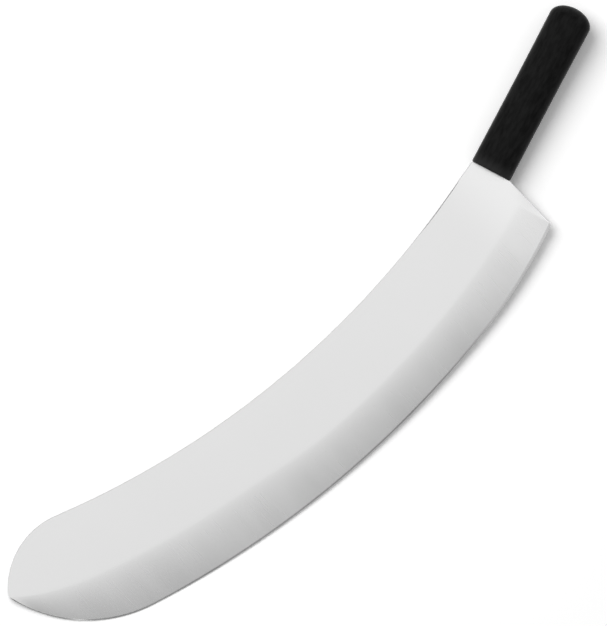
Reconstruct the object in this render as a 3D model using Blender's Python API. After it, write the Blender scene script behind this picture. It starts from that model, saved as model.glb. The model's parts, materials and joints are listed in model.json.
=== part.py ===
"""Long curved chopping knife: a ground steel blade whose tang runs into a moulded handle.

Run with blender --background --python part.py, or from Blender's text editor. Metres, +Z up.

Both pieces are built with the blade's mid-plane level, +X along the blade's chord from the neck to the tip
and +Y towards the cutting edge. The neck, where steel meets handle, is at the origin. The empty that carries
the pieces then lays the knife down as it rests on a table, its box's bottom centre at the world's origin.
"""
import cmath
import math

import bmesh
import bpy
import numpy as np
from mathutils import Matrix, Vector

MM = 0.001

# Blade outline. The chord runs from the middle of the neck to the tip
BLADE_LENGTH = 482.6 * MM
NECK_WIDTH = 32.4 * MM
# The spine leaves the neck almost straight, and then follows one long hollow curve
SPINE_START_LENGTH = 38.3 * MM
SPINE_START_RISE = 9.05 * MM
SPINE_BOW = 25.45 * MM
# Where the spine's curve ends and the round nose begins, back from the tip and behind the chord
NOSE_LENGTH = 67.2 * MM
NOSE_HEIGHT = 21.8 * MM
# Where the edge's long curve ends and the round toe begins, back from the tip and before the chord
TOE_LENGTH = 78.6 * MM
TOE_DEPTH = 76.8 * MM
EDGE_BOW = 17.0 * MM
# The heel runs nearly square to the chord, and the edge leaves its corner on a tighter curve
HEEL_DEPTH = 44.3 * MM
HEEL_RAKE = 2.3 * MM
HEEL_START_LENGTH = 89.4 * MM
HEEL_START_DEPTH = 27.1 * MM
TIP_ROUNDING = 3.4 * MM
HEEL_ROUNDING = 1.5 * MM

# Blade section
STOCK = 3.5 * MM
SPINE_CHAMFER = 0.4 * MM
GRIND_WIDTH = 37.0 * MM
GRIND_POWER = 1.5
# The grind is shallow at the heel, and from GRIND_START past it deepens to the full one
GRIND_START = 20.0 * MM
GRIND_RUN_IN = 110.0 * MM
GRIND_AT_HEEL = 0.48
# Towards the tip the grind is shallower where it is narrower than this, and it runs out before the tip,
# and the bevel with it
GRIND_FULL_WIDTH = 32.0 * MM
GRIND_RUN_OUT = 12.0 * MM
EDGE_SHOULDER = 0.9 * MM
EDGE_LAND = 0.2 * MM
EDGE_BEVEL = 1.2 * MM
BEVEL_AT_HEEL = 1.8 * MM
# The heel stays nearly blunt as far as BLUNT_HEEL, and from there the edge sharpens
SHARP_AT_HEEL = 0.11
BLUNT_HEEL = 60.0 * MM
SHARPEN_RUN_IN = 200.0 * MM
# Towards the tip the chamfer and the bevel keep to these shares of the blade's width and of the grind's
CHAMFER_LIMIT = 0.1
BEVEL_LIMIT = 0.3

# Handle. Its axis leans from the chord, with the butt to the spine's side
HANDLE_LEAN = math.radians(20.87)
HANDLE_LENGTH = 137.7 * MM
HANDLE_BUTT_WIDTH = 33.1 * MM
HANDLE_THICKNESS = 22.0 * MM
HANDLE_BUTT_THICKNESS = 24.0 * MM
HANDLE_WAIST = 0.6 * MM
HANDLE_SQUARENESS = 2.6
# The barrel stands this far to the spine's side of the neck's middle
HANDLE_OFFSET = 0.2 * MM
BUTT_DOME = 11.0 * MM
FRONT_ROUNDING = 1.6 * MM

# Tang. It stops short of the butt, and its holes are spread evenly from the first to the last
BUTT_COVER = 25.7 * MM
TANG_LENGTH = HANDLE_LENGTH - BUTT_COVER
TANG_WIDTH = 20.0 * MM
TANG_END_WIDTH = 15.0 * MM
TANG_CORNER = 5.0 * MM
TANG_HOLE = 8.0 * MM
TANG_HOLES = 3
FIRST_HOLE = 24.0 * MM
LAST_HOLE = 22.0 * MM
# Air between steel and plastic, at the shoulders, round the tang and in its holes
CLEARANCE = 0.3 * MM
PLUG_ROOT = 1.5 * MM
# How far the cutters reach out of what they cut
CUTTER_EXCESS = 3.0 * MM

STEEL_DENSITY = 7800.0
PLASTIC_DENSITY = 1100.0

# How finely the curves are stepped
FAN_STEPS = 5
CORNER_STEPS = 4
BODY_STEPS = 44
TOE_STEPS = 13
TIP_STEPS = 5
GRIND_STEPS = 7
GRIND_CROWDING = 1.5
MIDDLE_COLUMN = 0.3
BARREL_STEPS = 10
ROUND_STEPS = 4
DOME_STEPS = 9
HANDLE_SIDES = 48
HOLE_SIDES = 32


class Arc:
    """A circular arc in the blade's plane, whose points are complex numbers: real along X, imaginary along Y.

    It leaves its start turned left from its chord by half_turn, and comes to its end turned right by as much.
    """

    def __init__(self, start, end, half_turn):
        self.start = start
        self.end = end
        self.half_turn = cmath.phase(cmath.exp(1j * half_turn))
        self.chord = end - start
        self.straight = abs(self.half_turn) < 1e-6
        stretch = 1.0 if self.straight else self.half_turn / math.sin(self.half_turn)
        self.length = abs(self.chord) * stretch

    def at(self, share):
        if self.straight:
            return self.start + share * self.chord
        turned = self.half_turn * (2 * share - 1)
        along = math.sin(turned) / math.sin(self.half_turn)
        aside = (math.cos(turned) - math.cos(self.half_turn)) / math.sin(self.half_turn)
        return (self.start + self.end) / 2 + (along + 1j * aside) * self.chord / 2


def bowed_arc(start, end, bow):
    """The arc whose middle lies bow to the left of its chord."""
    return Arc(start, end, 2 * math.atan2(2 * bow, abs(end - start)))


def arc_after(arc, end):
    """The arc that goes on smoothly from another one to end."""
    leaving = cmath.phase(arc.chord) - arc.half_turn
    return Arc(arc.end, end, leaving - cmath.phase(end - arc.end))


def arc_before(start, arc):
    """The arc from start that runs smoothly into another one."""
    arriving = cmath.phase(arc.chord) + arc.half_turn
    return Arc(start, arc.start, cmath.phase(arc.start - start) - arriving)


class Outline:
    """Arcs end to end. roundings says how far back from the corner after an arc the rounding begins."""

    def __init__(self, arcs, roundings):
        self.arcs = arcs
        self.ends = np.cumsum([arc.length for arc in arcs])
        self.roundings = roundings

    def on_arcs(self, length):
        number = min(int(np.searchsorted(self.ends, length)), len(self.arcs) - 1)
        arc = self.arcs[number]
        return arc.at(1 - (self.ends[number] - length) / arc.length)

    def at(self, length):
        for number, cut in self.roundings.items():
            corner = self.ends[number]
            if abs(length - corner) < cut:
                share = (length - corner + cut) / (2 * cut)
                before = self.on_arcs(corner - cut)
                after = self.on_arcs(corner + cut)
                middle = self.on_arcs(corner)
                return (1 - share) ** 2 * before + 2 * share * (1 - share) * middle + share**2 * after
        return self.on_arcs(length)


def smooth_step(share):
    share = min(max(share, 0.0), 1.0)
    return share * share * (3 - 2 * share)


def blade_outline():
    """The outline from the neck's spine corner round the tip and the heel to the neck's edge corner."""
    across = 1j * cmath.exp(1j * HANDLE_LEAN)
    spine_neck = -NECK_WIDTH / 2 * across
    edge_neck = NECK_WIDTH / 2 * across
    spine_start = spine_neck + SPINE_START_LENGTH + 1j * SPINE_START_RISE
    nose = BLADE_LENGTH - NOSE_LENGTH - 1j * NOSE_HEIGHT
    tip = complex(BLADE_LENGTH)
    toe = BLADE_LENGTH - TOE_LENGTH + 1j * TOE_DEPTH
    heel = edge_neck - HEEL_RAKE + 1j * HEEL_DEPTH
    edge_start = heel + HEEL_START_LENGTH + 1j * HEEL_START_DEPTH

    spine_arc = bowed_arc(spine_start, nose, SPINE_BOW)
    edge_arc = bowed_arc(toe, edge_start, -EDGE_BOW)
    arcs = [
        arc_before(spine_neck, spine_arc),
        spine_arc,
        arc_after(spine_arc, tip),
        arc_before(tip, edge_arc),
        edge_arc,
        arc_after(edge_arc, heel),
        Arc(heel, edge_neck, 0.0),
    ]
    return Outline(arcs, {2: TIP_ROUNDING, 5: HEEL_ROUNDING})


def blade_stations(outline):
    """Pairs of lengths along the outline, on the spine's side and on the edge's, from neck to tip."""
    ends = outline.ends
    fan = NECK_WIDTH * math.sin(HANDLE_LEAN)
    spine_marks = [0, fan, fan + 2 * HEEL_ROUNDING, ends[1], ends[2] - TIP_ROUNDING, ends[2]]
    heel_marks = [ends[6], ends[5] + HEEL_ROUNDING, ends[5] - HEEL_ROUNDING]
    edge_marks = [*heel_marks, ends[3], ends[2] + TIP_ROUNDING, ends[2]]
    steps = [FAN_STEPS, CORNER_STEPS, BODY_STEPS, TOE_STEPS, TIP_STEPS]
    stations = [(spine_marks[0], edge_marks[0])]
    for section, count in enumerate(steps):
        for step in range(1, count + 1):
            share = step / count
            spine = spine_marks[section] + share * (spine_marks[section + 1] - spine_marks[section])
            edge = edge_marks[section] + share * (edge_marks[section + 1] - edge_marks[section])
            stations.append((spine, edge))
    return stations


def section_columns(width, grind, bevel, depth, sharp):
    """(share of the width from the spine, half thickness) at each column across the blade.

    grind and bevel are their widths, depth how much of the full grind is taken off, and sharp how much of the
    bevel.
    """
    half = STOCK / 2
    chamfer = min(SPINE_CHAMFER, CHAMFER_LIMIT * width)
    bevel = min(bevel, BEVEL_LIMIT * grind)
    columns = [(0.0, half - chamfer), (chamfer / width, half), (MIDDLE_COLUMN, half)]
    for step in range(GRIND_STEPS + 1):
        share = (step / GRIND_STEPS) ** GRIND_CROWDING
        from_edge = bevel + (grind - bevel) * (1 - share)
        sunk = depth * (half - EDGE_SHOULDER / 2) * share**GRIND_POWER
        columns.append((1 - from_edge / width, half - sunk))
    blunt = columns[-1][1]
    columns.append((1.0, blunt + sharp * (EDGE_LAND / 2 - blunt)))
    return columns


def neck_shares():
    """Where the same columns stand across the neck. The third and the fourth are the tang's sides."""
    beside_tang = (1 - TANG_WIDTH / NECK_WIDTH) / 2
    edge_side = np.linspace(1 - beside_tang, 1.0, GRIND_STEPS + 2)
    return [0.0, SPINE_CHAMFER / NECK_WIDTH, beside_tang, *edge_side]


def pair(mesh, point, height):
    """The vertices above and below a point of the plan."""
    return [mesh.verts.new((point.real, point.imag, side * height)) for side in (1, -1)]


def blade_rows(mesh):
    """A row of vertex pairs from spine to edge at each station, and the single pair at the tip."""
    outline = blade_outline()
    stations = blade_stations(outline)
    sides = [(outline.at(spine), outline.at(edge)) for spine, edge in stations]
    widest = max(abs(edge - spine) for spine, edge in sides)
    rows = []
    for number, (spine, edge) in enumerate(sides[:-1]):
        width = abs(edge - spine)
        past_heel = outline.ends[5] - stations[number][1]
        settled = min(number / FAN_STEPS, 1.0)
        deepening = smooth_step((past_heel - GRIND_START) / GRIND_RUN_IN)
        grind = GRIND_WIDTH * width / widest
        narrowing = min(grind / GRIND_FULL_WIDTH, 1.0)
        from_tip = BLADE_LENGTH - (spine + edge).real / 2
        ending = smooth_step(settled) * smooth_step(from_tip / GRIND_RUN_OUT)
        depth = (GRIND_AT_HEEL + (1 - GRIND_AT_HEEL) * deepening) * narrowing * ending
        sharpening = smooth_step((past_heel - BLUNT_HEEL) / SHARPEN_RUN_IN)
        sharp = (SHARP_AT_HEEL + (1 - SHARP_AT_HEEL) * sharpening) * ending
        bevel = BEVEL_AT_HEEL + deepening * (EDGE_BEVEL - BEVEL_AT_HEEL)
        columns = section_columns(width, grind, bevel, depth, sharp)
        row = []
        for (share, height), neck_share in zip(columns, neck_shares()):
            share = neck_share + settled * (share - neck_share)
            row.append(pair(mesh, spine + share * (edge - spine), height))
        rows.append(row)
    return rows, pair(mesh, sides[-1][0], STOCK / 2)


def skin_blade(mesh, rows, tip):
    """The two cheeks, and the wall along the whole outline but for the tang's root."""
    last = len(rows[0]) - 1
    for side in (0, 1):
        for before, after in zip(rows[:-1], rows[1:]):
            for j in range(last):
                mesh.faces.new([before[j][side], before[j + 1][side], after[j + 1][side], after[j][side]])
        for j in range(last):
            mesh.faces.new([rows[-1][j][side], rows[-1][j + 1][side], tip[side]])
    for j in (0, last):
        for before, after in zip(rows[:-1], rows[1:]):
            mesh.faces.new([before[j][0], after[j][0], after[j][1], before[j][1]])
        mesh.faces.new([rows[-1][j][0], tip[0], tip[1], rows[-1][j][1]])
    for j in range(last):
        if j != 2:
            mesh.faces.new([rows[0][j][0], rows[0][j + 1][0], rows[0][j + 1][1], rows[0][j][1]])


def grow_tang(mesh, root):
    """The tang, from the two vertex pairs at its root in the neck."""
    towards_butt = -cmath.exp(1j * HANDLE_LEAN)
    across = -1j * towards_butt
    previous = root
    for distance, half_width in tang_profile(0.0)[1:]:
        centre = distance * towards_butt
        current = [pair(mesh, centre + sign * half_width * across, STOCK / 2) for sign in (-1, 1)]
        for side in (0, 1):
            mesh.faces.new([previous[0][side], previous[1][side], current[1][side], current[0][side]])
        for j in (0, 1):
            mesh.faces.new([previous[j][0], current[j][0], current[j][1], previous[j][1]])
        previous = current
    mesh.faces.new([previous[0][0], previous[1][0], previous[1][1], previous[0][1]])


def blade_mesh():
    """The blade, ruled from spine to edge, with the tang growing out of the neck's middle."""
    mesh = bmesh.new()
    rows, tip = blade_rows(mesh)
    skin_blade(mesh, rows, tip)
    grow_tang(mesh, rows[0][2:4])
    bmesh.ops.recalc_face_normals(mesh, faces=mesh.faces)
    return finished_mesh("blade", mesh)


def tang_profile(clearance):
    """(distance from the neck, half width) along the tang, or along a pocket this much larger all round."""
    corner = TANG_CORNER + clearance
    length = TANG_LENGTH + clearance
    taper = (TANG_END_WIDTH - TANG_WIDTH) / 2 / TANG_LENGTH
    profile = [(0.0, TANG_WIDTH / 2 + clearance)]
    for step in range(ROUND_STEPS + 1):
        turned = math.pi / 2 * step / ROUND_STEPS
        distance = length - corner + corner * math.sin(turned)
        side = TANG_WIDTH / 2 + clearance + taper * (length - corner)
        profile.append((distance, side - corner + corner * math.cos(turned)))
    return profile


def hole_places():
    """How far from the neck the tang's holes are. LAST_HOLE is measured back from the tang's end."""
    return np.linspace(FIRST_HOLE, TANG_LENGTH - LAST_HOLE, TANG_HOLES)


def finished_mesh(name, mesh):
    data = bpy.data.meshes.new(name)
    mesh.to_mesh(data)
    mesh.free()
    return data


def new_object(name, data, parent=None):
    made = bpy.data.objects.new(name, data)
    bpy.context.scene.collection.objects.link(made)
    made.parent = parent
    return made


def cylinder_mesh(name, radius, height):
    mesh = bmesh.new()
    shape = {"segments": HOLE_SIDES, "radius1": radius, "radius2": radius, "depth": height}
    bmesh.ops.create_cone(mesh, cap_ends=True, **shape)
    return finished_mesh(name, mesh)


def add_boolean(target, cutter, operation):
    cutter.hide_render = True
    cutter.display_type = "WIRE"
    modifier = target.modifiers.new(cutter.name, "BOOLEAN")
    modifier.operation = operation
    modifier.solver = "EXACT"
    modifier.object = cutter


def superellipse(half_width, half_thickness, side):
    """A point of the handle's section: y across the blade's plane's width, z through its thickness."""
    turned = 2 * math.pi * side / HANDLE_SIDES
    y = math.copysign(abs(math.cos(turned)) ** (2 / HANDLE_SQUARENESS), math.cos(turned))
    z = math.copysign(abs(math.sin(turned)) ** (2 / HANDLE_SQUARENESS), math.sin(turned))
    return y * half_width, z * half_thickness


def handle_rings():
    """(distance from the front face, half width, half thickness) at each ring, from front face to dome."""

    def barrel(distance):
        share = distance / HANDLE_LENGTH
        pinch = HANDLE_WAIST * math.sin(math.pi * share)
        width = NECK_WIDTH + share * (HANDLE_BUTT_WIDTH - NECK_WIDTH) - pinch
        thickness = HANDLE_THICKNESS + share * (HANDLE_BUTT_THICKNESS - HANDLE_THICKNESS) - pinch
        return width / 2, thickness / 2

    rings = []
    for step in range(ROUND_STEPS):
        turned = math.pi / 2 * step / ROUND_STEPS
        inset = FRONT_ROUNDING * (1 - math.sin(turned))
        distance = FRONT_ROUNDING * (1 - math.cos(turned))
        width, thickness = barrel(distance)
        rings.append((distance, width - inset, thickness - inset))
    for step in range(BARREL_STEPS):
        distance = FRONT_ROUNDING + (HANDLE_LENGTH - BUTT_DOME - FRONT_ROUNDING) * step / BARREL_STEPS
        rings.append((distance, *barrel(distance)))
    for step in range(DOME_STEPS):
        turned = math.pi / 2 * step / DOME_STEPS
        distance = HANDLE_LENGTH - BUTT_DOME * (1 - math.sin(turned))
        width, thickness = barrel(distance)
        rings.append((distance, width * math.cos(turned), thickness * math.cos(turned)))
    return rings


def handle_mesh():
    """The handle's outside, with its front face in the plane x = 0 and its butt towards +X."""
    mesh = bmesh.new()
    rings = []
    for distance, half_width, half_thickness in handle_rings():
        points = [superellipse(half_width, half_thickness, side) for side in range(HANDLE_SIDES)]
        rings.append([mesh.verts.new((distance, y + HANDLE_OFFSET, z)) for y, z in points])
    for before, after in zip(rings[:-1], rings[1:]):
        for side in range(HANDLE_SIDES):
            following = (side + 1) % HANDLE_SIDES
            mesh.faces.new([before[side], before[following], after[following], after[side]])
    apex = mesh.verts.new((HANDLE_LENGTH, HANDLE_OFFSET, 0))
    for side in range(HANDLE_SIDES):
        mesh.faces.new([rings[-1][side], rings[-1][(side + 1) % HANDLE_SIDES], apex])
    mesh.faces.new(rings[0])
    bmesh.ops.recalc_face_normals(mesh, faces=mesh.faces)
    return finished_mesh("handle", mesh)


def pocket_mesh():
    """The room for the tang, larger by the clearance. It reaches out in front, to open the front face."""
    mesh = bmesh.new()
    half = STOCK / 2 + CLEARANCE
    profile = tang_profile(CLEARANCE)
    profile[0] = (-CUTTER_EXCESS, profile[0][1])
    rows = []
    for distance, half_width in profile:
        corners = [(-half_width, half), (half_width, half), (half_width, -half), (-half_width, -half)]
        rows.append([mesh.verts.new((distance - CLEARANCE, y, z)) for y, z in corners])
    for before, after in zip(rows[:-1], rows[1:]):
        for j in range(4):
            mesh.faces.new([before[j], before[(j + 1) % 4], after[(j + 1) % 4], after[j]])
    mesh.faces.new(rows[0])
    mesh.faces.new(rows[-1])
    bmesh.ops.recalc_face_normals(mesh, faces=mesh.faces)
    return finished_mesh("tang_pocket", mesh)


def principled(name, colour, metallic, roughness):
    material = bpy.data.materials.new(name)
    material.use_nodes = True
    shader = material.node_tree.nodes["Principled BSDF"]
    shader.inputs["Base Color"].default_value = (*colour, 1)
    shader.inputs["Metallic"].default_value = metallic
    shader.inputs["Roughness"].default_value = roughness
    material.diffuse_color = (*colour, 1)
    return material


def make_blade(parent):
    blade = new_object("blade", blade_mesh(), parent)
    blade.data.materials.append(principled("satin_steel", (0.74, 0.75, 0.76), 1.0, 0.33))
    for number, place in enumerate(hole_places()):
        data = cylinder_mesh("tang_hole", TANG_HOLE / 2, STOCK + 2 * CUTTER_EXCESS)
        cutter = new_object(f"tang_hole_{number + 1}", data, parent)
        centre = -place * cmath.exp(1j * HANDLE_LEAN)
        cutter.location = (centre.real, centre.imag, 0)
        add_boolean(blade, cutter, "DIFFERENCE")
    blade.data.shade_smooth()
    blade.data.set_sharp_from_angle(angle=math.radians(20))
    return blade


def make_handle(parent):
    """The handle, CLEARANCE behind the blade's shoulders, moulded round the tang and through its holes."""
    handle = new_object("handle", handle_mesh(), parent)
    handle.data.materials.append(principled("black_plastic", (0.012, 0.012, 0.013), 0.0, 0.42))
    front = -CLEARANCE * cmath.exp(1j * HANDLE_LEAN)
    handle.location = (front.real, front.imag, 0)
    handle.rotation_euler = (0, 0, math.pi + HANDLE_LEAN)
    add_boolean(handle, new_object("tang_pocket", pocket_mesh(), handle), "DIFFERENCE")
    plug_height = STOCK + 2 * CLEARANCE + 2 * PLUG_ROOT
    for number, place in enumerate(hole_places()):
        data = cylinder_mesh("plug", TANG_HOLE / 2 - CLEARANCE, plug_height)
        plug = new_object(f"plug_{number + 1}", data, handle)
        plug.location = (place - CLEARANCE, 0, 0)
        add_boolean(handle, plug, "UNION")
    handle.data.shade_smooth()
    handle.data.set_sharp_from_angle(angle=math.radians(35))
    return handle


def evaluated_triangles(obj):
    """The triangles' corners in world space, as the modifiers leave them."""
    evaluated = obj.evaluated_get(bpy.context.evaluated_depsgraph_get())
    data = evaluated.to_mesh()
    data.calc_loop_triangles()
    points = [evaluated.matrix_world @ vertex.co for vertex in data.vertices]
    triangles = np.array([[points[i] for i in triangle.vertices] for triangle in data.loop_triangles])
    evaluated.to_mesh_clear()
    return triangles


def centre_of_mass(weighted):
    """weighted holds (triangles, density) for each piece."""
    total = 0.0
    moment = np.zeros(3)
    for triangles, density in weighted:
        masses = density * np.linalg.det(triangles) / 6
        total += masses.sum()
        moment += (masses[:, None] * triangles.sum(axis=1) / 4).sum(axis=0)
    return Vector(moment / total)


def resting_normal(points, centre):
    """The outward normal of the hull's face that the knife lies on with its lower cheek down."""
    hull = bmesh.new()
    for point in points:
        hull.verts.new(point)
    bmesh.ops.convex_hull(hull, input=hull.verts)
    bmesh.ops.triangulate(hull, faces=hull.faces)
    lowest = None
    for face in hull.faces:
        corners = [vert.co for vert in face.verts]
        normal = face.normal.copy()
        foot = centre - (centre - corners[0]).dot(normal) * normal
        turns = [
            (after - before).cross(foot - before).dot(normal)
            for before, after in zip(corners, corners[1:] + corners[:1])
        ]
        if min(turns) >= 0 and (lowest is None or normal.z < lowest.z):
            lowest = normal
    hull.free()
    return lowest


def lay_down(carrier, pieces):
    """Turns and moves the carrier so that the knife rests on z = 0, its box centred on the origin."""
    bpy.context.view_layer.update()
    triangles = [evaluated_triangles(piece) for piece, _ in pieces]
    weighted = [(piece_triangles, density) for piece_triangles, (_, density) in zip(triangles, pieces)]
    points = np.unique(np.concatenate(triangles).reshape(-1, 3), axis=0)
    normal = resting_normal(points, centre_of_mass(weighted))
    turn = normal.rotation_difference(Vector((0, 0, -1))).to_matrix()
    laid = points @ np.array(turn).T
    low = laid.min(axis=0)
    high = laid.max(axis=0)
    shift = Vector((-(low[0] + high[0]) / 2, -(low[1] + high[1]) / 2, -low[2]))
    carrier.matrix_world = Matrix.Translation(shift) @ turn.to_4x4()
    bpy.context.view_layer.update()


def main():
    for obj in list(bpy.data.objects):
        bpy.data.objects.remove(obj)
    carrier = new_object("knife", None)
    blade = make_blade(carrier)
    handle = make_handle(carrier)
    lay_down(carrier, [(blade, STEEL_DENSITY), (handle, PLASTIC_DENSITY)])


main()
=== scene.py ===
"""Looks of the chopping knife: a satin-ground steel blade and a moulded black handle, lying on a white floor.

Sizes are in metres. The blade is built in a level frame: +X along its chord from the neck to the tip, +Y
towards the cutting edge, with the neck, where steel meets plastic, at the origin. The mount on the blade's
upper cheek says how that frame is tipped where the knife lies.
"""
import cmath
import json
import math

import bmesh
import bpy
import numpy as np
from mathutils import Matrix, Vector


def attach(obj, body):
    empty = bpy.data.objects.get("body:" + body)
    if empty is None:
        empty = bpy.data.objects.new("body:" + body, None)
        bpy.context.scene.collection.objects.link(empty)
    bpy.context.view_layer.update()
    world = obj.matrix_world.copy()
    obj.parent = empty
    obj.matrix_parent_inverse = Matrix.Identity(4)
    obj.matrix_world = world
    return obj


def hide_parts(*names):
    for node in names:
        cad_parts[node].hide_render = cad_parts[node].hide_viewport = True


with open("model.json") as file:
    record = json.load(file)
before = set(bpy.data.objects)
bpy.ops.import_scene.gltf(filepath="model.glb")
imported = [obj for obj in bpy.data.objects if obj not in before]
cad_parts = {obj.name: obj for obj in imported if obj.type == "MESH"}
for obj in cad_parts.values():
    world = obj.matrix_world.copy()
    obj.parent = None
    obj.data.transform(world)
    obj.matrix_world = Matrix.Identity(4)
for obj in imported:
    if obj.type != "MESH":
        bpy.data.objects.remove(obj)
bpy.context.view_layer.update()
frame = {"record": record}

MM = 0.001

# Blade outline. The chord runs from the middle of the neck to the tip
BLADE_LENGTH = 482.6 * MM
NECK_WIDTH = 32.4 * MM
# The spine's main curve starts this far from the neck's spine corner, along the chord and towards the edge,
# and its middle lies SPINE_BOW off a straight line
SPINE_START_LENGTH = 38.3 * MM
SPINE_START_RISE = 9.05 * MM
SPINE_BOW = 25.45 * MM
# It ends at the nose, this far back from the tip and this far to the spine's side of it
NOSE_LENGTH = 67.2 * MM
NOSE_HEIGHT = 21.8 * MM
# The edge's main curve starts at the toe, this far back from the tip and this far to the edge's side of it,
# and its middle lies EDGE_BOW off a straight line
TOE_LENGTH = 78.6 * MM
TOE_DEPTH = 76.8 * MM
EDGE_BOW = 17.0 * MM
# The heel's corner lies this far out from the neck's edge corner, and back from it
HEEL_DEPTH = 44.3 * MM
HEEL_RAKE = 2.3 * MM
# The edge's main curve ends this far from the heel's corner, along the chord and out from it
HEEL_START_LENGTH = 89.4 * MM
HEEL_START_DEPTH = 27.1 * MM
# The tip and the heel's corner are rounded from this far on either side
TIP_ROUNDING = 3.4 * MM
HEEL_ROUNDING = 1.5 * MM

# Blade section
STOCK = 3.5 * MM
SPINE_ROUNDING = 0.35 * MM
# Near the handle, where a finger lies on it, the spine is rounded more
EASED_ROUNDING = 1.0 * MM
EASED_START = 22.0 * MM
EASED_RUN_IN = 4.0 * MM
EASED_END = 78.0 * MM
EASED_RUN_OUT = 25.0 * MM
# The corner along the heel is broken by this much
HEEL_EASING = 0.9 * MM
# The full grind's width where the blade is widest, and the power of its curve
GRIND_WIDTH = 37.0 * MM
GRIND_POWER = 1.5
# From GRIND_START past the heel the grind deepens from this share of its full depth, and curves more
GRIND_START = 20.0 * MM
GRIND_RUN_IN = 110.0 * MM
GRIND_AT_HEEL = 0.5
GRIND_POWER_AT_HEEL = 1.3
# From the middle of the blade on it is wider by this share
WIDENING = 0.12
WIDENING_START = 220.0 * MM
WIDENING_RUN_IN = 80.0 * MM
# Round the toe it is deeper by this share
TOE_DEEPENING = 0.2
TOE_START = 340.0 * MM
TOE_RUN_IN = 60.0 * MM
# It is shallower where it is narrower than this on the blade and round the toe, and runs out at the tip
GRIND_FULL_WIDTH = 32.0 * MM
TOE_FULL_WIDTH = 42.0 * MM
GRIND_RUN_OUT = 12.0 * MM
# Thickness behind the bevel and at the edge itself, and the bevel's width past the heel and at it
EDGE_SHOULDER = 0.9 * MM
EDGE_LAND = 0.2 * MM
EDGE_BEVEL = 1.2 * MM
BEVEL_AT_HEEL = 1.8 * MM
# The heel stays nearly blunt as far as BLUNT_HEEL, and from there the edge sharpens
SHARP_AT_HEEL = 0.11
BLUNT_HEEL = 60.0 * MM
SHARPEN_RUN_IN = 200.0 * MM
# Round the toe the bevel is dull, with painted shade, where the grind has lost this share of its depth
TOE_DULLING_AND_SHADE = 0.4
# Towards the tip the spine's rounding keeps to ROUNDING_LIMIT of the blade's width, and the bevel to
# BEVEL_LIMIT of the grind's. Supporting columns keep to ROUNDING_LIMIT of the grind and of the bevel
ROUNDING_LIMIT = 0.1
BEVEL_LIMIT = 0.3

# Handle. Its axis leans from the chord, with the butt to the spine's side
HANDLE_LEAN = math.radians(20.87)
HANDLE_LENGTH = 137.7 * MM
HANDLE_BUTT_WIDTH = 33.1 * MM
HANDLE_THICKNESS = 22.0 * MM
HANDLE_BUTT_THICKNESS = 24.0 * MM
HANDLE_WAIST = 0.6 * MM
# The power of the section's curve, between a circle's 2 and a rectangle's infinity
HANDLE_SQUARENESS = 2.6
# The barrel stands this far to the spine's side of the neck's middle
HANDLE_OFFSET = 0.2 * MM
BUTT_DOME = 11.0 * MM
FRONT_ROUNDING = 1.6 * MM
# The mould's parting line runs round the handle in the blade's plane
PARTING_HEIGHT = 0.08 * MM
PARTING_WIDTH = 0.5 * MM
# The plastic grips the steel, so only a hair's breadth keeps the two meshes apart
GRIP = 0.03 * MM
# How far the plastic that fills the tang's holes reaches into the handle's halves
PLUG_ROOT = 1.5 * MM
# How far a cutting shape stands out of what it cuts
CUTTER_EXCESS = 3.0 * MM

# Tang. It stops short of the butt, and its holes are spread evenly from the first to the last
BUTT_COVER = 25.7 * MM
TANG_LENGTH = HANDLE_LENGTH - BUTT_COVER
TANG_WIDTH = 20.0 * MM
TANG_END_WIDTH = 15.0 * MM
TANG_CORNER = 5.0 * MM
TANG_HOLE = 8.0 * MM
TANG_HOLES = 3
FIRST_HOLE = 24.0 * MM
LAST_HOLE = 22.0 * MM

# Where the record's mount on the upper cheek is, in the level frame
CHEEK_POINT = (200.4 * MM, 30.9 * MM, STOCK / 2)

# The photograph, 607 by 626 pixels, is seen square to the blade through a long lens. PHOTO_CENTRE is its
# middle in the level frame, and PHOTO_TURN is how far its picture is turned there
PIXEL = 0.75 * MM
PHOTO_HEIGHT = 626
PHOTO_CENTRE = (175.7 * MM, -13.15 * MM)
PHOTO_TURN = math.radians(138.66)
# In millimetres, as on a camera
LENS = 500.0
SENSOR = 36.0

# An arc that turns less than this is a straight line
STRAIGHT_TURN = 1e-6
# Numbers of the outline's arcs that end at the nose, the tip, the toe, the heel and the neck's edge corner
NOSE_ARC = 1
TIP_ARC = 2
TOE_ARC = 3
HEEL_ARC = 5
NECK_ARC = 6

# How finely the curves are stepped. The fan is the stretch from the neck to the heel's corner
FAN_STEPS = 14
CORNER_STEPS = 6
BODY_STEPS = 150
TOE_STEPS = 44
TIP_STEPS = 12
ROUND_STEPS = 5
GRIND_STEPS = 14
GRIND_CROWDING = 1.5
BARREL_STEPS = 24
DOME_STEPS = 20
HANDLE_SIDES = 96
HOLE_SIDES = 48


class Arc:
    """A circular arc in the blade's plane, whose points are complex numbers: real along X, imaginary along Y.

    It leaves its start turned left from its chord by half_turn, and comes to its end turned right by as much.
    """

    def __init__(self, start, end, half_turn):
        self.start = start
        self.end = end
        self.half_turn = cmath.phase(cmath.exp(1j * half_turn))
        self.chord = end - start
        self.straight = abs(self.half_turn) < STRAIGHT_TURN
        stretch = 1.0 if self.straight else self.half_turn / math.sin(self.half_turn)
        self.length = abs(self.chord) * stretch

    def at(self, share):
        if self.straight:
            return self.start + share * self.chord
        turned = self.half_turn * (2 * share - 1)
        along = math.sin(turned) / math.sin(self.half_turn)
        aside = (math.cos(turned) - math.cos(self.half_turn)) / math.sin(self.half_turn)
        return (self.start + self.end) / 2 + (along + 1j * aside) * self.chord / 2


def bowed_arc(start, end, bow):
    """The arc whose middle lies bow to the left of its chord."""
    return Arc(start, end, 2 * math.atan2(2 * bow, abs(end - start)))


def arc_after(arc, end):
    """The arc that goes on smoothly from another one to end."""
    leaving = cmath.phase(arc.chord) - arc.half_turn
    return Arc(arc.end, end, leaving - cmath.phase(end - arc.end))


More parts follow.
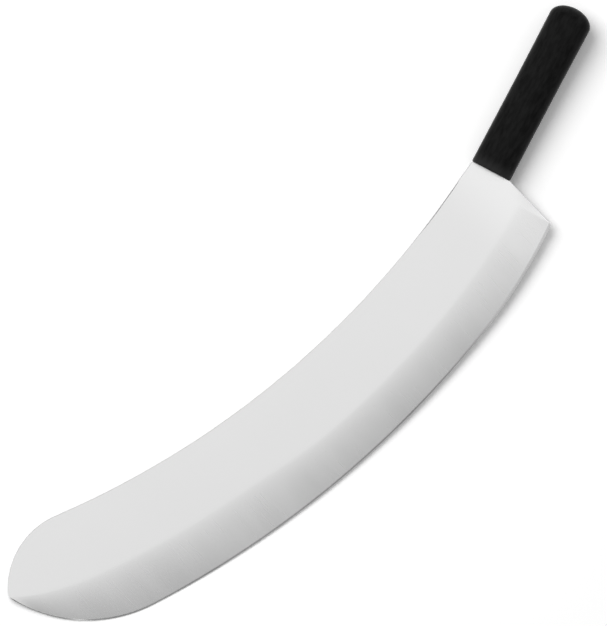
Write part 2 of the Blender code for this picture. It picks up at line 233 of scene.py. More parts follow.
def arc_before(start, arc):
    """The arc from start that runs smoothly into another one."""
    arriving = cmath.phase(arc.chord) + arc.half_turn
    return Arc(start, arc.start, cmath.phase(arc.start - start) - arriving)


class Outline:
    """Arcs end to end. roundings says how far back from the corner after an arc the rounding begins."""

    def __init__(self, arcs, roundings):
        self.arcs = arcs
        self.ends = np.cumsum([arc.length for arc in arcs])
        self.roundings = roundings

    def on_arcs(self, length):
        number = min(int(np.searchsorted(self.ends, length)), len(self.arcs) - 1)
        arc = self.arcs[number]
        return arc.at(1 - (self.ends[number] - length) / arc.length)

    def at(self, length):
        for number, cut_and_shade in self.roundings.items():
            corner = self.ends[number]
            if abs(length - corner) < cut_and_shade:
                share = (length - corner + cut_and_shade) / (2 * cut_and_shade)
                before = self.on_arcs(corner - cut_and_shade)
                after = self.on_arcs(corner + cut_and_shade)
                middle = self.on_arcs(corner)
                return (1 - share) ** 2 * before + 2 * share * (1 - share) * middle + share**2 * after
        return self.on_arcs(length)


def between(share, low, high):
    return low + share * (high - low)


def smooth_step(share):
    share = min(max(share, 0.0), 1.0)
    return share * share * (3 - 2 * share)


def quarter_turn(steps):
    """The angles from 0 to a right angle, in even steps."""
    return [math.pi / 2 * step / steps for step in range(steps + 1)]


def blade_outline():
    """The outline from the neck's spine corner round the tip and the heel to the neck's edge corner."""
    across = 1j * cmath.exp(1j * HANDLE_LEAN)
    spine_neck = -NECK_WIDTH / 2 * across
    edge_neck = NECK_WIDTH / 2 * across
    spine_start = spine_neck + SPINE_START_LENGTH + 1j * SPINE_START_RISE
    nose = BLADE_LENGTH - NOSE_LENGTH - 1j * NOSE_HEIGHT
    tip = complex(BLADE_LENGTH)
    toe = BLADE_LENGTH - TOE_LENGTH + 1j * TOE_DEPTH
    heel = edge_neck - HEEL_RAKE + 1j * HEEL_DEPTH
    edge_start = heel + HEEL_START_LENGTH + 1j * HEEL_START_DEPTH

    spine_arc = bowed_arc(spine_start, nose, SPINE_BOW)
    edge_arc = bowed_arc(toe, edge_start, -EDGE_BOW)
    arcs = [
        arc_before(spine_neck, spine_arc),
        spine_arc,
        arc_after(spine_arc, tip),
        arc_before(tip, edge_arc),
        edge_arc,
        arc_after(edge_arc, heel),
        Arc(heel, edge_neck, 0.0),
    ]
    return Outline(arcs, {TIP_ARC: TIP_ROUNDING, HEEL_ARC: HEEL_ROUNDING})


def blade_stations(outline):
    """Pairs of lengths along the outline, on the spine's side and on the edge's, from neck to tip."""
    nose, tip, toe, heel, edge_neck = outline.ends[[NOSE_ARC, TIP_ARC, TOE_ARC, HEEL_ARC, NECK_ARC]]
    fan = NECK_WIDTH * math.sin(HANDLE_LEAN)
    spine_marks = [0, fan, fan + 2 * HEEL_ROUNDING, nose, tip - TIP_ROUNDING, tip]
    edge_marks = [edge_neck, heel + HEEL_ROUNDING, heel - HEEL_ROUNDING, toe, tip + TIP_ROUNDING, tip]
    steps = [FAN_STEPS, CORNER_STEPS, BODY_STEPS, TOE_STEPS, TIP_STEPS]
    stations = [(spine_marks[0], edge_marks[0])]
    for section, count in enumerate(steps):
        for step in range(1, count + 1):
            share = step / count
            spine = between(share, *spine_marks[section : section + 2])
            edge = between(share, *edge_marks[section : section + 2])
            stations.append((spine, edge))
    return stations


# Columns of vertices across the blade: the spine's rounding, the flat cheek, the grind and the edge's bevel.
# Pairs of columns close together hold the smooth shading off the flat cheek and keep the bevel's line crisp
SPINE_SUPPORT = 0.2 * MM
SHOULDER_SUPPORT = 2.0 * MM
BEVEL_SUPPORT = 0.12 * MM
# The flat cheek has one more column at this share of the blade's width
MIDDLE_SHARE = 0.3
# The columns at the tang's two sides
ROOT_COLUMNS = (ROUND_STEPS + 2, ROUND_STEPS + 3)

# What the vertices are marked with for the steel: 0 on the flat cheek, up to 1 across the grind, 2 on the
# bevel, and up to 3 where the bevel is dull and has painted shade
FULL_GRIND = 1.0
BEVEL = 2.0
DULL_AND_SHADED_BEVEL = 3.0


def section_columns(width, rounding, grind, bevel, depth, power, sharp):
    """(share of the width from the spine, half thickness, mark) at each column.

    rounding is the spine's, grind and bevel are their widths, depth is how much of the full grind is taken
    off, power how it curves, and sharp how much of the bevel is taken off.
    """
    half = STOCK / 2
    rounding = min(rounding, ROUNDING_LIMIT * width)
    bevel = min(bevel, BEVEL_LIMIT * grind)
    support = min(SHOULDER_SUPPORT, ROUNDING_LIMIT * grind)
    columns = []
    for turned in quarter_turn(ROUND_STEPS):
        inset = rounding * (1 - math.sin(turned))
        columns.append((rounding * (1 - math.cos(turned)) / width, half - inset, 0.0))
    columns.append(((rounding + SPINE_SUPPORT) / width, half, 0.0))
    columns.append((MIDDLE_SHARE, half, 0.0))
    columns.append((1 - (grind + support) / width, half, 0.0))
    lip = min(BEVEL_SUPPORT, ROUNDING_LIMIT * bevel)
    shares = [(step / GRIND_STEPS) ** GRIND_CROWDING for step in range(GRIND_STEPS)]
    for share in [*shares, 1 - lip / (grind - bevel), 1.0]:
        from_edge = bevel + (grind - bevel) * (1 - share)
        sunk = depth * (half - EDGE_SHOULDER / 2) * share**power
        columns.append((1 - from_edge / width, half - sunk, share * FULL_GRIND))
    blunt = columns[-1][1]
    for from_edge in (bevel - lip, lip, 0.0):
        height = blunt + sharp * (1 - from_edge / bevel) * (EDGE_LAND / 2 - blunt)
        columns.append((1 - from_edge / width, height, BEVEL))
    return columns


def neck_shares(count):
    """Where the same columns stand across the neck, with the tang's sides at ROOT_COLUMNS."""
    beside_tang = (1 - TANG_WIDTH / NECK_WIDTH) / 2
    spine_side = [SPINE_ROUNDING / NECK_WIDTH * step / ROUND_STEPS for step in range(ROUND_STEPS + 2)]
    edge_side = np.linspace(1 - beside_tang, 1.0, count - ROOT_COLUMNS[0] - 1)
    return [*spine_side, beside_tang, *edge_side]


def pair(mesh, point, height):
    """The vertices above and below a point of the plan."""
    return [mesh.verts.new((point.real, point.imag, side * height)) for side in (1, -1)]


def section_at(spine, edge, widest, past_heel, settled):
    """The columns of the section from a point of the spine to one of the edge, as section_columns gives them.

    widest is the blade's greatest width, past_heel how far past the heel the edge's point is along the
    outline, and settled goes from 0 at the neck to 1 at the heel.
    """
    width = abs(edge - spine)
    along = (spine + edge).real / 2
    deepening = smooth_step((past_heel - GRIND_START) / GRIND_RUN_IN)
    widening = 1 + WIDENING * smooth_step((along - WIDENING_START) / WIDENING_RUN_IN)
    grind = GRIND_WIDTH * width / widest * widening
    toe = smooth_step((along - TOE_START) / TOE_RUN_IN)
    full_width = between(toe, GRIND_FULL_WIDTH, TOE_FULL_WIDTH)
    narrowing = min(grind / full_width, 1.0) * (1 + toe * TOE_DEEPENING)
    ending = smooth_step(settled) * smooth_step((BLADE_LENGTH - along) / GRIND_RUN_OUT)
    depth = between(deepening, GRIND_AT_HEEL, 1.0) * narrowing * ending
    power = between(deepening, GRIND_POWER_AT_HEEL, GRIND_POWER)
    sharp = between(smooth_step((past_heel - BLUNT_HEEL) / SHARPEN_RUN_IN), SHARP_AT_HEEL, 1.0) * ending
    bevel = between(deepening, BEVEL_AT_HEEL, EDGE_BEVEL)
    easing = min((spine.real - EASED_START) / EASED_RUN_IN, (EASED_END - spine.real) / EASED_RUN_OUT)
    rounding = between(smooth_step(easing), SPINE_ROUNDING, EASED_ROUNDING)
    columns = section_columns(width, rounding, grind, bevel, depth, power, sharp)
    # Round the toe the bevel's mark rises towards the dull bevel, which has painted shade
    dulling_and_shade = smooth_step((1 - narrowing) / TOE_DULLING_AND_SHADE) * (DULL_AND_SHADED_BEVEL - BEVEL)
    return [(share, height, mark + dulling_and_shade if mark >= BEVEL else mark) for share, height, mark in columns]


def break_corner(columns, width):
    """Takes the corner off along the heel, in place of the bevel's outer part."""
    height = columns[-1][1]
    columns[-2:] = [(1 - HEEL_EASING / width, height, FULL_GRIND), (1.0, height - HEEL_EASING, FULL_GRIND)]


def blade_rows(mesh, ground):
    """A row of vertex pairs from spine to edge at each station, and the single pair at the tip.

    ground takes each vertex's mark.
    """
    outline = blade_outline()
    stations = blade_stations(outline)
    sides = [(outline.at(spine), outline.at(edge)) for spine, edge in stations]
    widest = max(abs(edge - spine) for spine, edge in sides)
    heel = outline.ends[HEEL_ARC]
    rows = []
    for number, (spine, edge) in enumerate(sides[:-1]):
        settled = min(number / FAN_STEPS, 1.0)
        columns = section_at(spine, edge, widest, heel - stations[number][1], settled)
        if number <= FAN_STEPS:
            break_corner(columns, abs(edge - spine))
        row = []
        for (share, height, mark), neck_share in zip(columns, neck_shares(len(columns))):
            verts = pair(mesh, spine + between(settled, neck_share, share) * (edge - spine), height)
            for vert in verts:
                ground[vert] = mark * smooth_step(settled)
            row.append(verts)
        rows.append(row)
    tip = pair(mesh, sides[-1][0], STOCK / 2)
    for vert in tip:
        ground[vert] = FULL_GRIND
    return rows, tip


def skin_blade(mesh, rows, tip, cut_and_shade):
    """The two cheeks, and the wall along the whole outline but for the tang's root.

    Its last argument is the layer that marks the wall and the broken corner along the heel,
    which are made rougher and given painted shade.
    """
    last = len(rows[0]) - 1
    for side in (0, 1):
        for number, (before, after) in enumerate(zip(rows[:-1], rows[1:])):
            for j in range(last):
                corners = [before[j][side], before[j + 1][side], after[j + 1][side], after[j][side]]
                mesh.faces.new(corners)[cut_and_shade] = float(number < FAN_STEPS and j == last - 1)
        for j in range(last):
            mesh.faces.new([rows[-1][j][side], rows[-1][j + 1][side], tip[side]])
    for j in (0, last):
        for before, after in zip(rows[:-1], rows[1:]):
            mesh.faces.new([before[j][0], after[j][0], after[j][1], before[j][1]])[cut_and_shade] = 1.0
        mesh.faces.new([rows[-1][j][0], tip[0], tip[1], rows[-1][j][1]])[cut_and_shade] = 1.0
    for j in range(last):
        if j != ROOT_COLUMNS[0]:
            mesh.faces.new([rows[0][j][0], rows[0][j + 1][0], rows[0][j + 1][1], rows[0][j][1]])


def tang_profile(clearance):
    """(distance from the neck, half width) along the tang, or along a pocket this much larger all round."""
    corner = TANG_CORNER + clearance
    length = TANG_LENGTH + clearance
    taper = (TANG_END_WIDTH - TANG_WIDTH) / 2 / TANG_LENGTH
    profile = [(0.0, TANG_WIDTH / 2 + clearance)]
    for turned in quarter_turn(ROUND_STEPS):
        distance = length - corner + corner * math.sin(turned)
        side = TANG_WIDTH / 2 + clearance + taper * (length - corner)
        profile.append((distance, side - corner + corner * math.cos(turned)))
    return profile


def grow_tang(mesh, root):
    """The tang, from the two vertex pairs at its root in the neck."""
    towards_butt = -cmath.exp(1j * HANDLE_LEAN)
    across = -1j * towards_butt
    previous = root
    for distance, half_width in tang_profile(0.0)[1:]:
        centre = distance * towards_butt
        current = [pair(mesh, centre + sign * half_width * across, STOCK / 2) for sign in (-1, 1)]
        for side in (0, 1):
            mesh.faces.new([previous[0][side], previous[1][side], current[1][side], current[0][side]])
        for j in (0, 1):
            mesh.faces.new([previous[j][0], current[j][0], current[j][1], previous[j][1]])
        previous = current
    mesh.faces.new([previous[0][0], previous[1][0], previous[1][1], previous[0][1]])


def blade_mesh():
    """The blade, ruled from spine to edge, with the tang growing out of the neck's middle."""
    mesh = bmesh.new()
    grain_layer = mesh.loops.layers.uv.new("grain")
    ground_layer = mesh.verts.layers.float.new("ground")
    cut_and_shade_layer = mesh.faces.layers.float.new("cut_and_shade")
    ground = {}
    rows, tip = blade_rows(mesh, ground)
    skin_blade(mesh, rows, tip, cut_and_shade_layer)
    grow_tang(mesh, [rows[0][j] for j in ROOT_COLUMNS])
    bmesh.ops.recalc_face_normals(mesh, faces=mesh.faces)
    for vert, mark in ground.items():
        vert[ground_layer] = mark
    for face in mesh.faces:
        for loop in face.loops:
            loop[grain_layer].uv = loop.vert.co.xy
    return finished_mesh("blade", mesh)


def finished_mesh(name, mesh):
    data = bpy.data.meshes.new(name)
    mesh.to_mesh(data)
    mesh.free()
    return data


def new_object(name, data, place=None):
    """An object at the origin. place is where its mesh goes."""
    made = bpy.data.objects.new(name, data)
    bpy.context.scene.collection.objects.link(made)
    if place is not None:
        data.transform(place)
    return made


def hole_places():
    """How far from the neck the tang's holes are. LAST_HOLE is measured back from the tang's end."""
    return np.linspace(FIRST_HOLE, TANG_LENGTH - LAST_HOLE, TANG_HOLES)


def cylinder_mesh(name, radius, height):
    mesh = bmesh.new()
    shape = {"segments": HOLE_SIDES, "radius1": radius, "radius2": radius, "depth": height}
    bmesh.ops.create_cone(mesh, cap_ends=True, **shape)
    return finished_mesh(name, mesh)


def apply_booleans(target, steps):
    """Cuts or joins each (cutter, operation), keeps the result as the target's mesh and drops the cutters."""
    for cutter, operation in steps:
        modifier = target.modifiers.new(cutter.name, "BOOLEAN")
        modifier.operation = operation
        modifier.solver = "EXACT"
        modifier.object = cutter
    bpy.context.view_layer.update()
    evaluated = target.evaluated_get(bpy.context.evaluated_depsgraph_get())
    data = bpy.data.meshes.new_from_object(evaluated)
    target.modifiers.clear()
    target.data = data
    for cutter, _ in steps:
        bpy.data.objects.remove(cutter)


def side_turns():
    """The angles at which the handle's section has its vertices, with four more round each parting line."""
    near = [PARTING_WIDTH / 2 * share / (HANDLE_THICKNESS / 2) for share in (0.5, 1.0)]
    close = [math.asin(height ** (HANDLE_SQUARENESS / 2)) for height in near]
    turns = list(2 * math.pi * np.arange(HANDLE_SIDES) / HANDLE_SIDES)
    for middle in (0.0, math.pi):
        turns += [(middle + sign * turn) % (2 * math.pi) for turn in close for sign in (-1, 1)]
    return sorted(turns)


def handle_section(half_width, half_thickness, turned):
    """A point of the handle's section: y across it in the blade's plane, z through its thickness."""
    y = math.copysign(abs(math.cos(turned)) ** (2 / HANDLE_SQUARENESS), math.cos(turned)) * half_width
    z = math.copysign(abs(math.sin(turned)) ** (2 / HANDLE_SQUARENESS), math.sin(turned)) * half_thickness
    ridge = PARTING_HEIGHT * smooth_step(1 - abs(z) / (PARTING_WIDTH / 2))
    return y + math.copysign(ridge, y), z


def handle_rings():
    """(distance from the front face, half width, half thickness) at each ring, from front face to dome."""

    def barrel(distance):
        share = distance / HANDLE_LENGTH
        pinch = HANDLE_WAIST * math.sin(math.pi * share)
        width = between(share, NECK_WIDTH, HANDLE_BUTT_WIDTH) - pinch
        thickness = between(share, HANDLE_THICKNESS, HANDLE_BUTT_THICKNESS) - pinch
        return width / 2 - PARTING_HEIGHT, thickness / 2

    rings = []
    for turned in quarter_turn(ROUND_STEPS)[:-1]:
        inset = FRONT_ROUNDING * (1 - math.sin(turned))
        distance = FRONT_ROUNDING * (1 - math.cos(turned))
        width, thickness = barrel(distance)
        rings.append((distance, width - inset, thickness - inset))
    for step in range(BARREL_STEPS):
        distance = FRONT_ROUNDING + (HANDLE_LENGTH - BUTT_DOME - FRONT_ROUNDING) * step / BARREL_STEPS
        rings.append((distance, *barrel(distance)))
    for turned in quarter_turn(DOME_STEPS)[:-1]:
        distance = HANDLE_LENGTH - BUTT_DOME * (1 - math.sin(turned))
        width, thickness = barrel(distance)
        rings.append((distance, width * math.cos(turned), thickness * math.cos(turned)))
    return rings


def bridge(mesh, rings):
    """Faces all round between each ring of vertices and the next."""
    for before, after in zip(rings[:-1], rings[1:]):
        for side in range(len(before)):
            following = (side + 1) % len(before)
            mesh.faces.new([before[side], before[following], after[following], after[side]])


def handle_mesh():
    """The handle's outside, with its front face in the plane x = 0 and its butt towards +X."""
    mesh = bmesh.new()
    turns = side_turns()
    rings = []
    for distance, half_width, half_thickness in handle_rings():
        points = [handle_section(half_width, half_thickness, turned) for turned in turns]
        rings.append([mesh.verts.new((distance, y + HANDLE_OFFSET, z)) for y, z in points])
    bridge(mesh, rings)
    apex = mesh.verts.new((HANDLE_LENGTH, HANDLE_OFFSET, 0))
    for side in range(len(turns)):
        mesh.faces.new([rings[-1][side], rings[-1][(side + 1) % len(turns)], apex])
    mesh.faces.new(rings[0])
    bmesh.ops.recalc_face_normals(mesh, faces=mesh.faces)
    return finished_mesh("handle", mesh)


def pocket_mesh():
    """The tang's room in the handle, reaching out in front."""
    mesh = bmesh.new()
    half = STOCK / 2 + GRIP
    profile = tang_profile(GRIP)
    profile[0] = (-CUTTER_EXCESS, profile[0][1])
    rings = []
    for distance, half_width in profile:
        corners = [(-half_width, half), (half_width, half), (half_width, -half), (-half_width, -half)]
        rings.append([mesh.verts.new((distance - GRIP, y, z)) for y, z in corners])
    bridge(mesh, rings)
    mesh.faces.new(rings[0])
    mesh.faces.new(rings[-1])
    bmesh.ops.recalc_face_normals(mesh, faces=mesh.faces)
    return finished_mesh("tang_pocket", mesh)


class Nodes:
    """Short calls for building a material's node tree."""

    def __init__(self, tree):
        self.tree = tree

    def add(self, kind, links=None, **settings):
        """A node. links gives its inputs, by name or number, a value or another node's socket."""
        node = self.tree.nodes.new(kind)
        for name, value in settings.items():
            setattr(node, name, value)
        for name, value in (links or {}).items():
            if isinstance(value, bpy.types.NodeSocket):
                self.tree.links.new(value, node.inputs[name])
            else:
                node.inputs[name].default_value = value
        return node

    def maths(self, operation, *values):
        return self.add("ShaderNodeMath", dict(enumerate(values)), operation=operation).outputs[0]

    def noise(self, vector, scale, detail=2.0, roughness=0.5):
        """Noise from 0 to 1. scale is how often it changes in a metre, along each axis of vector."""
        scaled = self.add("ShaderNodeVectorMath", {0: vector, 1: scale}, operation="MULTIPLY").outputs[0]
        links = {"Vector": scaled, "Scale": 1.0, "Detail": detail, "Roughness": roughness}
        return self.add("ShaderNodeTexNoise", links).outputs["Fac"]

    def varied(self, value, noise, strength):
        """value, raised and lowered with the noise by up to half of strength."""
        return self.maths("MULTIPLY_ADD", self.maths("SUBTRACT", noise, 0.5), strength, value)

    def grey(self, shade):
        return self.add("ShaderNodeCombineColor", {0: shade, 1: shade, 2: shade}).outputs[0]

    def bump(self, height, strength, distance):
        links = {"Height": height, "Strength": strength, "Distance": distance}
        return self.add("ShaderNodeBump", links).outputs["Normal"]

    def ramp(self, value, low, high, to_low, to_high, shape="SMOOTHSTEP"):
        links = {"Value": value, "From Min": low, "From Max": high, "To Min": to_low, "To Max": to_high}
        return self.add("ShaderNodeMapRange", links, interpolation_type=shape).outputs["Result"]

    def seen(self):
        """1 where the camera sees a surface, itself or in metal or glass, and 0 where it only gives light."""
        path = self.add("ShaderNodeLightPath").outputs
        direct = self.maths("MAXIMUM", path["Is Camera Ray"], path["Is Glossy Ray"])
        return self.maths("MAXIMUM", direct, path["Is Transmission Ray"])


def empty_material(name):
    material = bpy.data.materials.new(name)
    material.use_nodes = True
    material.node_tree.nodes.clear()
    return material, Nodes(material.node_tree)


# Shades are linear: 0 is black and 1 is white
STEEL = 0.79
# A painted highlight: the cheek is painted a little brighter beside the handle, as far as this
PAINTED_NECK_HIGHLIGHT = 0.07
PAINTED_NECK_HIGHLIGHT_LENGTH = 48.0 * MM
# How often in a metre the steel's unevenness changes, along the blade and across it
FINE_MARKS = (5200.0, 35.0, 0.0)
WIDE_MARKS = (900.0, 12.0, 0.0)
BANDS = (45.0, 14.0, 0.0)
CLOUDS = (14.0, 14.0, 14.0)
# How far each raises and lowers the shade, in all. The bands show on the grind alone
FINE_MARKS_SHADE = 0.012
WIDE_MARKS_SHADE = 0.014
BANDS_SHADE = 0.12
CLOUDS_SHADE = 0.02
# How strong the belt's marks are on the flat cheek and on the grind
FLAT_MARKS = 0.4
GRIND_MARKS = 1.0
# From the flat cheek on, the bands and the belt's marks are full at these shares of the grind
BANDS_FULL = 0.6
MARKS_FULL = 0.3
STEEL_ROUGHNESS = 0.27
STEEL_ANISOTROPY = 0.55
WIDE_MARKS_ROUGHNESS = 0.03
# The fine and the wide marks' shares of the bump, its strength and its depth
FINE_MARKS_HEIGHT = 0.6
WIDE_MARKS_HEIGHT = 0.4
MARKS_BUMP = 0.045
MARKS_DEPTH = 0.01 * MM
# The bevel is smoother than the grind by this
BEVEL_POLISH = 0.06
# The wall round the blade, the broken corner along the heel and the toe's dull bevel are rougher than the
# cheeks, and darker: partly a duller cut face, partly painted shade for the shadow and dark reflection there
CUT_AND_PAINTED_SHADE = 0.38
CUT_ROUGHNESS = 0.3


def steel_material():
    """Satin stainless steel. Fine lines run across the blade from spine to edge, as the belt left them."""
    material, nodes = empty_material("satin_steel")
    grain = nodes.add("ShaderNodeUVMap", uv_map="grain").outputs["UV"]
    ground = nodes.add("ShaderNodeAttribute", attribute_name="ground").outputs["Fac"]
    # The faces that are rougher and have painted shade: the cut faces and the dull bevel round the toe
    cut_and_shade = nodes.add("ShaderNodeAttribute", attribute_name="cut_and_shade").outputs["Fac"]
    cut_and_shade = nodes.maths("MAXIMUM", cut_and_shade, nodes.ramp(ground, BEVEL, DULL_AND_SHADED_BEVEL, 0.0, 1.0))
    place = nodes.add("ShaderNodeTexCoord").outputs["Object"]
    fine = nodes.noise(grain, FINE_MARKS, detail=3.0)
    wide = nodes.noise(grain, WIDE_MARKS, detail=4.0, roughness=0.6)
    marks = nodes.ramp(ground, 0.0, MARKS_FULL, FLAT_MARKS, GRIND_MARKS)
    wide_marks = nodes.maths("MULTIPLY", nodes.maths("SUBTRACT", wide, 0.5), marks)
    fine_marks = nodes.maths("MULTIPLY", nodes.maths("SUBTRACT", fine, 0.5), marks)

    along = nodes.add("ShaderNodeSeparateXYZ", {"Vector": grain}).outputs["X"]
    # The steel's shade, with the painted highlight beside the handle
    shade = nodes.maths("ADD", nodes.ramp(along, 0.0, PAINTED_NECK_HIGHLIGHT_LENGTH, PAINTED_NECK_HIGHLIGHT, 0.0), STEEL)
    shade = nodes.maths("MULTIPLY_ADD", wide_marks, WIDE_MARKS_SHADE, shade)
    bands_shade = nodes.ramp(ground, 0.0, BANDS_FULL, 0.0, BANDS_SHADE)
    shade = nodes.varied(shade, nodes.noise(grain, BANDS), bands_shade)
    shade = nodes.varied(shade, nodes.noise(place, CLOUDS, detail=3.0), CLOUDS_SHADE)
    shade = nodes.maths("MULTIPLY_ADD", fine_marks, FINE_MARKS_SHADE, shade)
    # Painted shade on the cut faces, the broken heel corner and the toe's dull bevel
    shade = nodes.maths("MULTIPLY", nodes.ramp(cut_and_shade, 0.0, 1.0, 1.0, CUT_AND_PAINTED_SHADE), shade)

    roughness = nodes.maths("MULTIPLY_ADD", wide_marks, WIDE_MARKS_ROUGHNESS, STEEL_ROUGHNESS)
    roughness = nodes.maths("MULTIPLY_ADD", cut_and_shade, CUT_ROUGHNESS, roughness)
    polished = nodes.ramp(ground, FULL_GRIND, (FULL_GRIND + BEVEL) / 2, 0.0, 1.0)
    roughness = nodes.maths("MULTIPLY_ADD", polished, -BEVEL_POLISH, roughness)

    height = nodes.maths("MULTIPLY", wide, WIDE_MARKS_HEIGHT)
    height = nodes.maths("MULTIPLY_ADD", fine, FINE_MARKS_HEIGHT, height)
    normal = nodes.bump(height, nodes.maths("MULTIPLY", marks, MARKS_BUMP), MARKS_DEPTH)
    tangent = nodes.add("ShaderNodeTangent", direction_type="UV_MAP", uv_map="grain")
    shader = nodes.add(
        "ShaderNodeBsdfPrincipled",
        {
            "Base Color": nodes.grey(shade),
            "Metallic": 1.0,
            "Roughness": roughness,
            "Anisotropic": STEEL_ANISOTROPY,
            "Normal": normal,
            "Tangent": tangent.outputs["Tangent"],
        },
    )
    nodes.add("ShaderNodeOutputMaterial", {"Surface": shader.outputs["BSDF"]})
    return material


PLASTIC = 0.0055
# The mould's grain, and patches that are drawn out along the handle, both in changes to the metre
PLASTIC_GRAIN = (2600.0, 2600.0, 2600.0)
PATCHES = (110.0, 420.0, 420.0)
# The span of noise over which the patches come up, and how much paler and rougher they are
PATCHES_SPAN = (0.3, 0.7)
PATCHES_SHADE = 0.006
PATCHES_ROUGHNESS = 0.1
# A painted sheen: the plastic is paler along its front edge and fades back to black by this far behind it
PAINTED_FRONT_SHEEN = 0.016
PAINTED_SHEEN_LENGTH = 10.0 * MM
PLASTIC_ROUGHNESS = 0.3
PLASTIC_SPECULAR = 0.05
PLASTIC_BUMP = 0.35
PLASTIC_GRAIN_DEPTH = 0.04 * MM


def plastic_material(laid):
    """Black moulded plastic, with the fine etched grain of its mould and long faint patches."""
    material, nodes = empty_material("black_plastic")
    place = nodes.add("ShaderNodeTexCoord").outputs["Object"]
    links = {0: place, 1: laid.translation}
    from_neck = nodes.add("ShaderNodeVectorMath", links, operation="SUBTRACT").outputs["Vector"]
    links = {"Vector": from_neck, "Angle": math.pi - HANDLE_LEAN}
    along = nodes.add("ShaderNodeVectorRotate", links, rotation_type="Z_AXIS").outputs["Vector"]
    distance = nodes.add("ShaderNodeSeparateXYZ", {"Vector": along}).outputs["X"]
    patches = nodes.noise(along, PATCHES, detail=4.0, roughness=0.6)
    patches = nodes.ramp(patches, *PATCHES_SPAN, 0.0, 1.0)
    shade = nodes.maths("MULTIPLY_ADD", patches, PATCHES_SHADE, PLASTIC)
    # The painted sheen along the front edge
    shade = nodes.maths("ADD", shade, nodes.ramp(distance, 0.0, PAINTED_SHEEN_LENGTH, PAINTED_FRONT_SHEEN, 0.0))
    shader = nodes.add(
        "ShaderNodeBsdfPrincipled",
        {
            "Base Color": nodes.grey(shade),
            "Roughness": nodes.maths("MULTIPLY_ADD", patches, PATCHES_ROUGHNESS, PLASTIC_ROUGHNESS),
            "Specular IOR Level": PLASTIC_SPECULAR,
            "Normal": nodes.bump(nodes.noise(place, PLASTIC_GRAIN), PLASTIC_BUMP, PLASTIC_GRAIN_DEPTH),
        },
    )
    nodes.add("ShaderNodeOutputMaterial", {"Surface": shader.outputs["BSDF"]})
    return material


# The floor's colour as it lights the knife and as it is seen, and what it glows where it is seen
FLOOR_COLOUR = 0.8
FLOOR_SEEN = 1.15
FLOOR_GLOW = 0.03
# The paper's tooth, in changes to the metre
FLOOR_TOOTH = (900.0, 900.0, 900.0)
FLOOR_BUMP = 0.05
FLOOR_TOOTH_DEPTH = 0.05 * MM


def floor_material():
    """White paper, as white as the photograph's ground wherever no shadow falls."""
    material, nodes = empty_material("white_floor")
    place = nodes.add("ShaderNodeTexCoord").outputs["Object"]
    normal = nodes.bump(nodes.noise(place, FLOOR_TOOTH, detail=3.0), FLOOR_BUMP, FLOOR_TOOTH_DEPTH)
    shade = nodes.maths("MULTIPLY_ADD", nodes.seen(), FLOOR_SEEN - FLOOR_COLOUR, FLOOR_COLOUR)
    shader = nodes.add("ShaderNodeBsdfDiffuse", {"Color": nodes.grey(shade), "Normal": normal})
    glow = nodes.add("ShaderNodeEmission", {"Strength": nodes.maths("MULTIPLY", nodes.seen(), FLOOR_GLOW)})
    both = nodes.add("ShaderNodeAddShader", {0: shader.outputs["BSDF"], 1: glow.outputs["Emission"]})
    nodes.add("ShaderNodeOutputMaterial", {"Surface": both.outputs["Shader"]})
    return material


def laid_down():
    """From the level frame to where the knife lies, as the mount on its upper cheek says."""
    mount = next(mount for mount in frame["record"]["mounts"] if mount["name"] == "upper_cheek")
    turn = Vector((0, 0, 1)).rotation_difference(Vector(mount["axis"])).to_matrix().to_4x4()
    return Matrix.Translation(Vector(mount["pos_m"]) - turn @ Vector(CHEEK_POINT)) @ turn


# Edges that turn by more than this stay sharp where the surface is shaded smooth
BLADE_SHARP_TURN = math.radians(25)
HANDLE_SHARP_TURN = math.radians(35)


def finish_piece(piece, material, node, sharp_turn):
    """Gives the piece its material and shading, puts it on the root body and hides the CAD node it stands
    for.
    """
    piece.data.materials.clear()
    piece.data.materials.append(material)
    piece.data.shade_smooth()
    piece.data.set_sharp_from_angle(angle=sharp_turn)
    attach(piece, "root")
    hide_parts(node)


def make_blade(laid):
    blade = new_object("ground_blade", blade_mesh(), laid)
    cutters = []
    for number, place in enumerate(hole_places()):
        centre = -place * cmath.exp(1j * HANDLE_LEAN)
        data = cylinder_mesh("tang_hole", TANG_HOLE / 2, STOCK + 2 * CUTTER_EXCESS)
        hole = laid @ Matrix.Translation((centre.real, centre.imag, 0))
        cutters.append((new_object(f"tang_hole_{number + 1}", data, hole), "DIFFERENCE"))
    apply_booleans(blade, cutters)
    finish_piece(blade, steel_material(), "blade", BLADE_SHARP_TURN)


def make_handle(laid):
    front = -GRIP * cmath.exp(1j * HANDLE_LEAN)
    turn = Matrix.Rotation(math.pi + HANDLE_LEAN, 4, "Z")
    place = laid @ Matrix.Translation((front.real, front.imag, 0)) @ turn
    handle = new_object("moulded_handle", handle_mesh(), place)
    steps = [(new_object("tang_pocket", pocket_mesh(), place), "DIFFERENCE")]
    for number, distance in enumerate(hole_places()):
        data = cylinder_mesh("plug", TANG_HOLE / 2 - GRIP, STOCK + 2 * PLUG_ROOT)
        plug = new_object(f"plug_{number + 1}", data, place @ Matrix.Translation((distance - GRIP, 0, 0)))
        steps.append((plug, "UNION"))
    apply_booleans(handle, steps)
    finish_piece(handle, plastic_material(laid), "handle", HANDLE_SHARP_TURN)


FLOOR_SIZE = 40.0
# What the sky and the key give a white floor as light. Together they are a plain level
SKY_LIGHT = 0.45
KEY_LIGHT = 0.57

# How bright the tent is where it shows in the steel: the strip overhead, and beyond it on the edge's side,
# on the spine's side, and far out on the edge's side
SKY_BRIGHT = 1.34
SKY_DIM = 0.29
SKY_SPINE_DIM = 0.1
SKY_FAR = 0.36
# The strip runs along the blade, turned this much
SKY_TURN = math.radians(12)
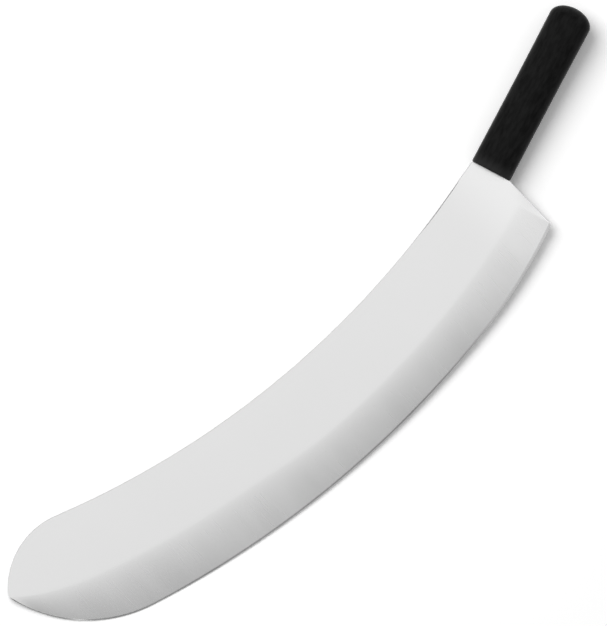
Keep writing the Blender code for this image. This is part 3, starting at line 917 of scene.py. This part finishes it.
# Where each change begins and ends, as the sine of the angle from overhead towards the edge's side
SKY_SPINE_EDGE = (-0.3, -0.13)
SKY_EDGE = (-0.044, 0.182)
SKY_FAR_EDGE = (0.25, 0.6)
# The bright band at the horizon fades out between these sines of the angle above it
HORIZON = (0.3, 0.72)

# How far off the lamp is, how wide, and how high above the floor
KEY_DISTANCE = 2.4
KEY_SIZE = 2.2
KEY_RISE = math.radians(50)


def make_floor():
    mesh = bmesh.new()
    bmesh.ops.create_grid(mesh, x_segments=1, y_segments=1, size=FLOOR_SIZE / 2)
    floor = new_object("floor", finished_mesh("floor", mesh))
    floor.data.materials.append(floor_material())


def make_sky(laid):
    """A white studio tent, bright all round at the horizon and in a strip overhead, and dimmer between.

    So it shows in the steel. What it gives as light is the same from all sides.
    """
    world = bpy.data.worlds.new("studio")
    world.use_nodes = True
    world.node_tree.nodes.clear()
    nodes = Nodes(world.node_tree)
    direction = nodes.add("ShaderNodeTexCoord").outputs["Generated"]
    beyond_edge = laid.to_3x3() @ Vector((math.sin(SKY_TURN), math.cos(SKY_TURN), 0))
    leaning = nodes.add("ShaderNodeVectorMath", {0: direction, 1: beyond_edge}, operation="DOT_PRODUCT")
    leaning = leaning.outputs["Value"]
    up = nodes.add("ShaderNodeSeparateXYZ", {"Vector": direction}).outputs["Z"]
    strip = nodes.ramp(leaning, *SKY_EDGE, SKY_BRIGHT, SKY_DIM, "LINEAR")
    strip = nodes.maths("MINIMUM", strip, nodes.ramp(leaning, *SKY_SPINE_EDGE, SKY_SPINE_DIM, SKY_BRIGHT))
    tent = nodes.maths("MAXIMUM", strip, nodes.ramp(leaning, *SKY_FAR_EDGE, 0.0, SKY_FAR))
    tent = nodes.maths("MAXIMUM", tent, nodes.ramp(up, *HORIZON, 1.0, 0.0))
    strength = nodes.maths("MULTIPLY_ADD", nodes.seen(), nodes.maths("SUBTRACT", tent, SKY_LIGHT), SKY_LIGHT)
    background = nodes.add("ShaderNodeBackground", {"Color": (1.0, 1.0, 1.0, 1.0), "Strength": strength})
    nodes.add("ShaderNodeOutputWorld", {"Surface": background.outputs["Background"]})
    bpy.context.scene.world = world


def make_key():
    """A soft lamp from beyond the spine, which throws the shadow and doesn't show in the steel."""
    light = bpy.data.lights.new("key", "AREA")
    light.shape = "DISK"
    light.size = KEY_SIZE
    # The power at which a white floor, at this distance and slant, is as bright as KEY_LIGHT
    light.energy = KEY_LIGHT / math.sin(KEY_RISE) * (math.pi * KEY_DISTANCE) ** 2
    key = new_object("key", light)
    towards = Vector((0.0, -math.cos(KEY_RISE), math.sin(KEY_RISE)))
    key.location = towards * KEY_DISTANCE
    key.rotation_euler = towards.to_track_quat("Z", "Y").to_euler()
    key.visible_glossy = False


def make_camera(laid):
    camera = new_object("camera", bpy.data.cameras.new("camera"))
    camera.data.lens = LENS
    camera.data.sensor_width = SENSOR
    # The sensor's width goes to the longer side of the picture, which is its height
    distance = PIXEL * PHOTO_HEIGHT * LENS / SENSOR
    place = Matrix.Translation((*PHOTO_CENTRE, distance)) @ Matrix.Rotation(PHOTO_TURN, 4, "Z")
    camera.matrix_world = laid @ place
    bpy.context.scene.camera = camera


def main():
    laid = laid_down()
    make_camera(laid)
    make_blade(laid)
    make_handle(laid)
    make_floor()
    make_sky(laid)
    make_key()
    bpy.context.scene.view_settings.view_transform = "Standard"


main()
